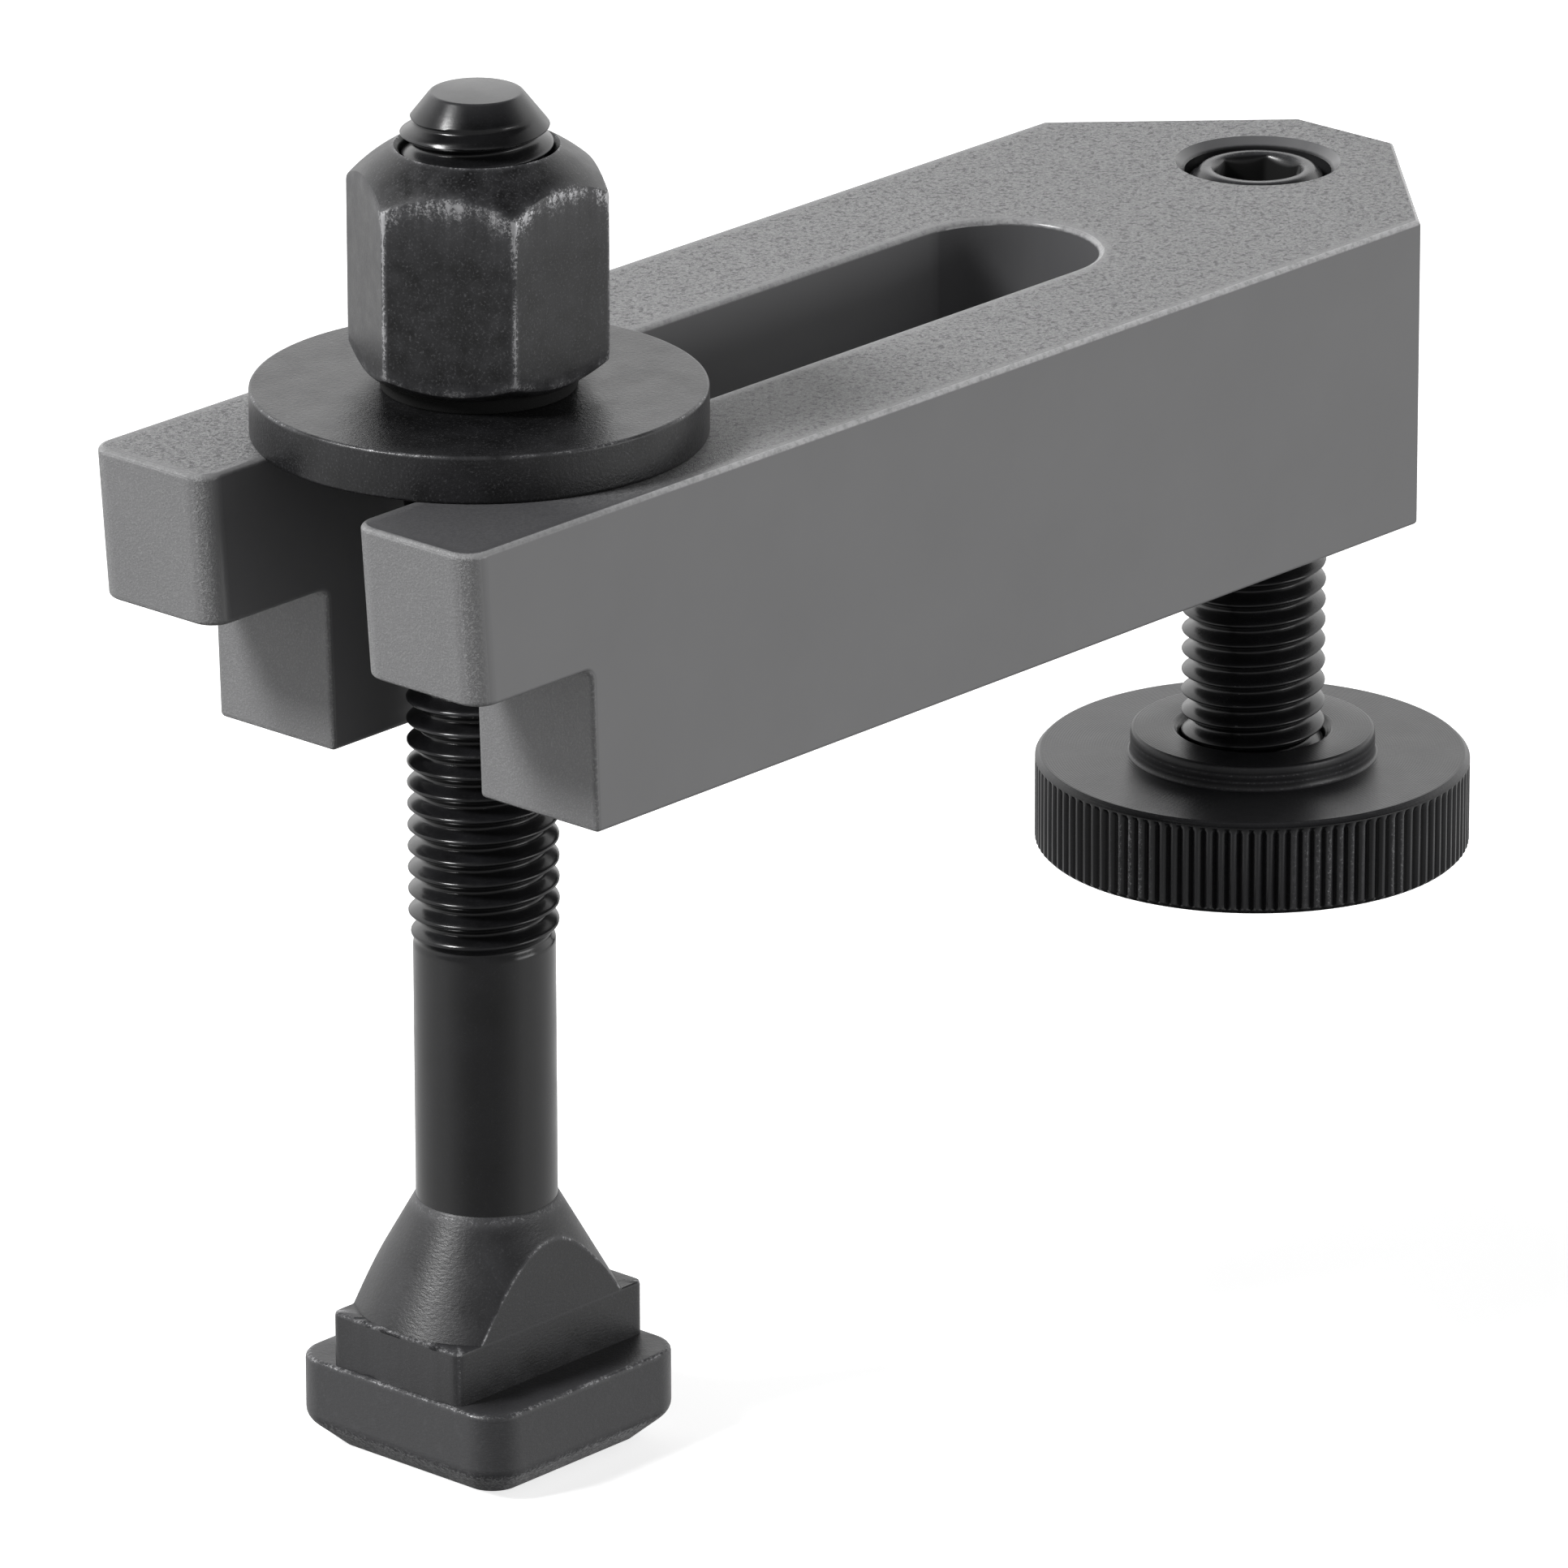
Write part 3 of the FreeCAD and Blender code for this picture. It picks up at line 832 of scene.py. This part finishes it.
    def shaft_points(self) -> tuple[Array, Array]:
        """Grid of the shank, thread and bevelled tip.

        The thread's radius is shank + ramp * (thread form - shank) over its first turn and a half,
        and min(that, tip cone) near the top.

        Returns:
            Points (rows, columns, 3) and wear (rows, columns).
        """
        angle = around(112)
        low_r = np.array([[0.0], [self.shank], [self.shank], [self.shank]])
        low_z = np.array([[self.cone_top - 1.0]] * 2 + [[self.cone_top + 10.0], [self.thread_low]])
        z, phase = helical_rows(self.thread_low, self.thread_high, self.crest_z, angle)
        grown = ramp(self.thread_low, self.thread_low + 1.5 * PITCH, z)
        form = self.shank + grown * (thread_radius(phase, self.crest) - self.shank)
        slope = (self.crest - self.tip) / (self.top - self.bevel_z)
        r = np.minimum(form, self.crest - (z - self.bevel_z) * slope)
        tip_r = self.crest - (self.thread_high - self.bevel_z) * slope
        tip = soften(np.array([(tip_r, self.thread_high), (self.tip, self.top), (0.0, self.top)]),
                     np.array([0.0, 0.18, 0.0]))
        points = np.concatenate([
            turned(low_r, low_z, angle), turned(r, z, angle), turned(tip[:, :1], tip[:, 1:], angle)])
        wear_and_painted_light = np.concatenate([
            np.zeros((4, angle.size)),
            np.broadcast_to(0.25 * near(r, self.crest, 0.12) * (z > 60.0), z.shape),
            np.broadcast_to(0.35 * near(tip[:, :1], self.tip, 0.15), (len(tip), angle.size))])
        return points, wear_and_painted_light

    def build(self, head: bpy.types.Material, shaft: bpy.types.Material) -> None:
        """Make both pieces.

        Args:
            head: Finish of the forged head.
            shaft: Finish of the shank and thread.
        """
        forging = Dress("bolt_head", Body.BOLT, "t_slot_bolt", "bolt_blackened", head, 28.0)
        forging.make(*self.head_points())
        shank = Dress("bolt_shaft", Body.BOLT, "t_slot_bolt", "bolt_blackened", shaft, 60.0)
        shank.make(*self.shaft_points())


@dataclass
class Washer:
    """Thick turned washer under the nut."""

    outer: float
    low: float
    high: float
    inner: float = 6.5
    edge: float = 0.3

    def build(self, material: bpy.types.Material) -> None:
        """Revolve the rounded profile.

        Args:
            material: Finish of the washer.
        """
        corners = [(self.inner, self.low), (self.outer, self.low), (self.outer, self.high),
                   (self.inner, self.high), (self.inner, self.low)]
        profile = soften(np.array(corners), np.array([0.0, self.edge, self.edge, self.edge, 0.0]))
        angle = around(256)
        r, z = profile[:, :1], profile[:, 1:]
        rim = near(z, self.high - 0.1, 0.16) * near(r, self.outer - 0.1, 0.16)
        # painted shade: the washer's top under and around the nut is drawn sooty, where the nut shades it
        shade_under_nut = ramp(13.5, 9.0, r) * (z > self.high - 0.2)
        wear_and_painted_light = rim * (0.5 + 0.3 * ripple(angle[None, :] * 9, 11)) - 0.5 * shade_under_nut
        washer = Dress("plain_washer", Body.WASHER, "washer", "washer_blackened", material)
        washer.make(turned(r, z, angle), wear_and_painted_light)


@dataclass
class HexNut:
    """Tall hexagon nut with a bearing collar and a domed end."""

    seat: float
    top: float
    flats: float = 18.0
    corner: float = 0.55
    turn_deg: float = 29.0
    collar_height: float = 1.2
    collar: float = 8.15
    seat_r: float = 7.6
    dome: float = 13.5
    mouth: float = 6.35
    bore: float = 5.96
    bevel_deg: float = 34.0

    def build(self, material: bpy.types.Material) -> None:
        """Loft the nut over the hexagon's outline.

        With s the outline's radius, the side runs from seat + collar height + (s - collar) tan(bevel)
        up to the dome's height over s, c + sqrt(R^2 - s^2), and the dome runs on from s to the mouth.

        Args:
            material: Finish of the nut.
        """
        angle = around(360)
        s = rounded_hexagon(self.flats, self.corner, angle, self.turn_deg)[None, :]
        hexagon = self.seat + self.collar_height
        centre_z = self.top - math.sqrt(self.dome**2 - self.mouth**2)
        low = hexagon + (s - self.collar) * math.tan(math.radians(self.bevel_deg))
        high = centre_z + np.sqrt(self.dome**2 - s**2)

        def rings(column: Array) -> Array:
            """Rows that hold one value each right round, from a column of (rows, 1)."""
            return np.broadcast_to(column, (len(column), s.size))

        corners = [(self.bore, self.seat), (self.seat_r, self.seat), (self.seat_r, hexagon - 0.3)]
        seat = soften(np.array(corners), np.array([0.0, 0.2, 0.0]))
        side_r = [s - 0.45, s - 0.12, *[s] * 9, s - 0.04]
        flat_z = [low + 1.2 + (high - low - 3.4) * k / 4 for k in range(5)]
        side_z = [low - 0.3, low - 0.02, low + 0.3, *flat_z, *(high - fall for fall in (1.4, 0.8, 0.3, 0.05))]
        dome_r = s + (self.mouth - s) * np.linspace(0.03, 1.0, 18)[:, None]
        dome_z = centre_z + np.sqrt(self.dome**2 - dome_r**2)
        mouth_low = self.top - (self.mouth - self.bore)
        inner = np.array([(self.mouth - 0.05, self.top - 0.05), (self.bore, mouth_low),
                          (self.bore, self.seat)])
        radius = np.concatenate([rings(seat[:, :1]), *side_r, dome_r, rings(inner[:, :1])])
        height = np.concatenate([rings(seat[:, 1:]), *side_z, dome_z, rings(inner[:, 1:])])

        uneven = 0.85 + 0.3 * ripple(angle[None, :] * 14, 3)
        handled = (0.35 + 0.65 * ramp(-0.2, 0.6, np.cos(angle - math.radians(-105.0))))[None, :]
        arc = 0.8 * near(height, high - 0.35, 0.75) * near(radius, s, 0.8)
        arc = handled * (arc + 0.36 * near(height, high - 1.6, 1.8) * near(radius, s, 0.1))
        foot = near(height, low + 0.15, 0.35) * near(radius, s, 0.35)
        off_corner = np.abs(np.mod(angle - math.radians(self.turn_deg), TURN / 6) - TURN / 12)[None, :]
        edge_number = np.round(angle[None, :] * 3 / math.pi)
        broken = 0.8 + 0.35 * ripple(height * 1.9 + edge_number * 7.0, 8)
        upright = near(off_corner, 0.0, 0.02) * near(radius, s, 0.1) * broken
        lip = near(radius, self.mouth, 0.2) * near(height, self.top, 0.5)
        wear_and_painted_light = np.clip((arc + 0.7 * foot + 0.8 * lip) * uneven + 1.35 * upright, 0, 1.05)
        # painted shade: the collar under the hexagon and the bore are drawn sooty black, standing in for the
        # shade there
        wear_and_painted_light = np.where((height < hexagon + 0.1) & (radius < self.collar + 0.1), -1.0, wear_and_painted_light)
        wear_and_painted_light = np.where(radius < self.bore + 0.05, -1.0, wear_and_painted_light)
        nut = Dress("tall_hexagon_nut", Body.NUT, "hex_nut", "nut_blackened", material, 24.0)
        nut.make(turned(radius, height, angle), wear_and_painted_light)


@dataclass
class SupportScrew:
    """Headless screw with a rolled thread and a hexagon socket."""

    x: float
    bottom: float
    top: float
    crest: float = 5.9
    crest_z: float = 0.4
    end: float = 4.55
    end_rise: float = 1.2
    socket: float = 6.0
    socket_mouth: float = 3.8
    socket_depth: float = 6.0

    def build(self, material: bpy.types.Material) -> None:
        """Make the thread between two bevels, and the socket in the upper end.

        The thread's radius is min(thread form, both end cones), and the socket's rows are a hexagon.

        Args:
            material: Finish of the screw.
        """
        angle = around(112)
        slope = (self.crest - self.end) / self.end_rise
        low, high = self.bottom + 0.08, self.top - 0.08
        z, phase = helical_rows(low, high, self.crest_z, angle)
        ends = np.minimum(self.end + (z - self.bottom) * slope, self.end + (self.top - z) * slope)
        r = np.minimum(thread_radius(phase, self.crest), ends)
        hexagon = rounded_hexagon(self.socket, 0.15, angle, 0.0)[None, :]
        cone_z = self.top - (self.socket_mouth - hexagon)
        floor = self.top - self.socket_depth

        def ring(value: float, rows: int = 1) -> Array:
            """Rows that hold one value right round."""
            return np.full((rows, angle.size), value)

        radius = np.concatenate([ring(0.0), ring(self.end - 0.1), r, ring(self.end - 0.1),
                                 ring(self.socket_mouth + 0.06), ring(self.socket_mouth - 0.06), hexagon,
                                 hexagon, ring(0.0)])
        height = np.concatenate([ring(self.bottom, 2), z, ring(self.top, 2), ring(self.top - 0.08),
                                 cone_z, ring(floor, 2)])
        wear_and_painted_light = 0.4 * near(radius, self.end, 0.15) * (height > self.top - 0.3)
        wear_and_painted_light = wear_and_painted_light + 0.5 * near(radius, self.socket_mouth, 0.12) * (height > self.top - 0.3)
        # painted shade: the socket's walls and floor are drawn sooty black, as a shaded hollow
        wear_and_painted_light = np.where((radius < self.socket_mouth - 0.3) & (height > self.bottom + 1.0), -1.0, wear_and_painted_light)
        screw = Dress("threaded_screw", Body.SCREW, "support_screw", "screw_blackened", material, 60.0)
        screw.make(turned(radius, height, angle, self.x), wear_and_painted_light)


@dataclass
class KnurledFoot:
    """Turned foot with a boss and a straight knurled rim."""

    x: float
    sole: float
    outer: float
    boss_top: float
    screw_end: float
    top: float = 32.45
    teeth: int = 112
    depth: float = 0.38
    boss: float = 10.05
    mouth: float = 6.5
    bore: float = 5.96
    under_screw: float = 0.05

    def build(self, material: bpy.types.Material) -> None:
        """Revolve the foot, with its rim radius cut in by depth * tooth(angle) * window(z).

        Args:
            material: Finish of the foot.
        """
        angle = around(self.teeth * 8)
        rim_low, rim_high = self.sole + 0.2, self.top - 0.5
        floor = self.screw_end - self.under_screw
        turning_marks = [(self.boss - 0.02 * (k % 2), self.top + 0.35 + 0.18 * k) for k in range(8)]
        corners = [(0.0, self.sole), (self.outer - 0.45, self.sole), (self.outer, self.sole + 0.45),
                   (self.outer, rim_low + 0.6), (self.outer, rim_low + 0.9), (self.outer, rim_high - 0.45),
                   (self.outer, rim_high), (self.outer, self.top - 0.4), (self.outer - 0.4, self.top),
                   (self.boss + 0.1, self.top), *turning_marks,
                   (self.boss - 0.1, self.boss_top), (self.mouth, self.boss_top),
                   (self.bore, self.boss_top - self.mouth + self.bore), (self.bore, floor), (0.0, floor)]
        reach = [0, 0.15, 0.1, 0, 0, 0, 0, 0.05, 0.12, 0.15, *[0.0] * 8, 0.22, 0.1, 0.05, 0, 0]
        profile = soften(np.array(corners), np.array(reach), 4)
        r, z = profile[:, :1], profile[:, 1:]
        tooth = np.abs(np.mod(angle * self.teeth / TURN, 1.0) - 0.5) * 2
        groove = np.clip(1.0 - tooth / 0.75, 0.0, 1.0)[None, :]
        window = ramp(rim_low, rim_low + 0.4, z) * ramp(rim_high, rim_high - 0.45, z)
        window = window * (r > self.outer - 0.3)
        radius = r - (self.depth * groove + 0.05 * (1.0 - tooth)[None, :] ** 2) * window
        gripped = ramp(0.93, 0.99, np.cos(angle - math.radians(-112.0)))
        gripped = gripped * (0.5 + 0.5 * ripple(angle * 9.0, 18))
        handled = (0.22 + 0.25 * ripple(angle * 2.0, 17) ** 2 + 0.4 * gripped)[None, :]
        # wear on the knurl's crests, and painted shade in its grooves
        crest_wear_and_groove_shade = handled * window * (1.0 - groove) - 0.25 * window * groove
        rim_wear = 0.35 * near(z, self.top - 0.1, 0.15) * near(r, self.outer - 0.3, 0.3)
        boss_side = near(r, self.boss, 0.25) * (z < self.boss_top - 0.05) * (z > self.top - 0.1)
        wear_and_painted_light = crest_wear_and_groove_shade + rim_wear + 0.45 * boss_side * (0.5 + 0.5 * np.sin(z * TURN / 0.55))
        foot = Dress("knurled_foot_turned", Body.FOOT, "knurled_foot", "foot_blackened", material, 35.0)
        foot.make(turned(radius, z, angle, self.x), wear_and_painted_light)


# --- stage ---


@dataclass
class Softbox:
    """Flat area light with a width and a height in metres, turned to its aim."""

    name: str
    place: tuple[float, float, float]
    width: float
    height: float
    watts: float
    aim: tuple[float, float, float] = (0.03, 0.0, 0.05)

    def build(self) -> None:
        """Hang the light."""
        lamp = bpy.data.lights.new(self.name, "AREA")
        lamp.shape = "RECTANGLE"
        lamp.size, lamp.size_y = self.width, self.height
        lamp.energy = self.watts
        holder = bpy.data.objects.new(self.name, lamp)
        bpy.context.scene.collection.objects.link(holder)
        holder.location = self.place
        towards = Vector(self.aim) - Vector(self.place)
        holder.rotation_euler = towards.to_track_quat("-Z", "Y").to_euler()


@dataclass
class Studio:
    """Pale floor, soft lights, plain surroundings and the camera.

    Lengths are in metres, but for the lens. The surroundings' levels are the strengths of a plain
    white sky behind the part, before it, above it and below the level of the floor.
    """

    azimuth_deg: float = 42.105
    elevation_deg: float = 19.91
    roll_deg: float = -0.127
    distance: float = 1.1355
    lens: float = 338.3
    side_shift: float = -0.02325
    rise: float = -0.00533
    middle: tuple[float, float, float] = (0.0, 0.0, 0.06)
    floor_half: float = 4.0
    away: tuple[float, float, float] = (0.74, 0.67, 0.0)
    sweep: float = 1.4
    front: float = 0.3
    ceiling: float = 0.05
    table: float = 0.85
    table_front: float = 0.35
    under: float = 0.04

    def floor(self) -> None:
        """Wide sheet at z = 0 under the bolt's head."""
        mesh = bpy.data.meshes.new("floor")
        half = self.floor_half
        corners = [(-half, -half, 0), (half, -half, 0), (half, half, 0), (-half, half, 0)]
        mesh.from_pydata(corners, [], [(0, 1, 2, 3)])
        sheet = bpy.data.objects.new("floor", mesh)
        bpy.context.scene.collection.objects.link(sheet)
        mesh.materials.append(PaleFloor().build())
        sheet.visible_diffuse = False
        sheet.visible_glossy = False

    def surroundings(self) -> None:
        """White sweep behind the part, a dark ceiling, a dim front and a pale table edge below."""
        world = bpy.data.worlds.new("studio")
        world.use_nodes = True
        bpy.context.scene.world = world
        tree = world.node_tree
        tree.nodes.clear()
        way = add_node(tree, "TexCoord", out="Generated")
        height = add_node(tree, "SeparateXYZ", way, out="Z")
        behind = add_node(tree, "VectorMath", way, self.away, operation="DOT_PRODUCT", out="Value")
        level = add_node(tree, "MapRange", behind, -0.3, 0.5, self.front, self.sweep)
        above = add_node(tree, "MapRange", height, 0.5, 0.75, level, self.ceiling)
        ahead = add_node(tree, "MapRange", behind, -0.9, -0.4, self.table_front, self.table)
        below = add_node(tree, "MapRange", height, -0.75, -0.5, self.under, ahead)
        tone = add_node(tree, "MapRange", height, -0.03, 0.03, below, above)
        sky = add_node(tree, "Background", (1.0, 1.0, 1.0, 1.0), tone)
        add_node(tree, "OutputWorld", Surface=sky)

    def camera(self) -> None:
        """Long lens at the viewing angle: forward F from azimuth and elevation, right and up rolled."""
        a, e, roll = (math.radians(v) for v in (self.azimuth_deg, self.elevation_deg, self.roll_deg))
        forward = Vector((math.cos(e) * math.cos(a), math.cos(e) * math.sin(a), -math.sin(e)))
        level = Vector((math.sin(a), -math.cos(a), 0.0))
        upright = level.cross(forward)
        right = math.cos(roll) * level + math.sin(roll) * upright
        up = -math.sin(roll) * level + math.cos(roll) * upright
        place = Vector(self.middle) - forward * self.distance - right * self.side_shift + up * self.rise
        data = bpy.data.cameras.new("camera")
        data.sensor_width = 36.0
        data.lens = self.lens
        data.clip_end = 20.0
        camera = bpy.data.objects.new("camera", data)
        bpy.context.scene.collection.objects.link(camera)
        turn = Matrix((right, up, -forward)).transposed().to_4x4()
        camera.matrix_world = Matrix.Translation(place) @ turn
        bpy.context.scene.camera = camera

    def build(self) -> None:
        """Set up the whole studio."""
        self.floor()
        self.surroundings()
        self.camera()
        Softbox("key", place=(-0.76, 0.34, 0.80), width=0.26, height=0.26, watts=11.0).build()
        Softbox("fill", place=(0.40, -1.00, 0.20), width=0.6, height=0.3, watts=2.1).build()
        bpy.context.scene.view_settings.view_transform = "Standard"


def main() -> None:
    """Dress every piece, then set up the studio."""
    logging.basicConfig(level=logging.INFO, format="%(name)s %(message)s")
    bolt_high = corners_mm("t_slot_bolt")[1]
    washer_low, washer_high = corners_mm("washer")
    nut_low, nut_high = corners_mm("hex_nut")
    screw_low, screw_high = corners_mm("support_screw")
    foot_low, foot_high = corners_mm("knurled_foot")
    screw_x = (foot_low[0] + foot_high[0]) / 2
    forged = BlackOxide("blackened_forged_steel", dark="#1a1a1b", pale="#2c2c2e", satin="#444446",
                        roughness=0.4, grain_mm=0.3, grain_depth_mm=0.03, grain_stretch=(0.7, 0.7, 1.6))
    rolled = BlackOxide("blackened_rolled_steel", dark="#121213", pale="#1a1a1c", roughness=0.22,
                        grain_depth_mm=0.004, salt=0.08)
    disc = BlackOxide("blackened_turned_washer_steel", dark="#131314", pale="#212123", roughness=0.32,
                      uneven=0.04, gloss=0.45, grain_depth_mm=0.035, salt=0.55)
    hexagonal = BlackOxide("blackened_nut_steel", dark="#161617", pale="#303032", roughness=0.36,
                           mottle_mm=1.6, salt=0.8)
    threaded = BlackOxide("blackened_screw_steel", dark="#131314", pale="#1d1d1f", roughness=0.24,
                          grain_depth_mm=0.004, salt=0.08)
    base = BlackOxide("blackened_turned_foot_steel", dark="#171719", pale="#1e1e20", roughness=0.3,
                      uneven=0.02, gloss=0.36, salt=0.15, rings_mm=0.22, rings_centre_x=screw_x)
    body = frame["nodes"]["clamp_body"]
    body.data.materials.clear()
    body.data.materials.append(GreyEnamel(hole_x=screw_x).build())
    LOG.info("clamp_body: enamel")
    TSlotBolt(top=bolt_high[2]).build(forged.build(), rolled.build())
    Washer(outer=washer_high[0], low=washer_low[2], high=washer_high[2]).build(disc.build())
    HexNut(seat=nut_low[2], top=nut_high[2]).build(hexagonal.build())
    SupportScrew(x=screw_x, bottom=screw_low[2], top=screw_high[2]).build(threaded.build())
    KnurledFoot(x=screw_x, sole=foot_low[2], outer=foot_high[0] - screw_x, boss_top=foot_high[2],
                screw_end=screw_low[2]).build(base.build())
    Studio().build()


if __name__ == "__main__":
    main()
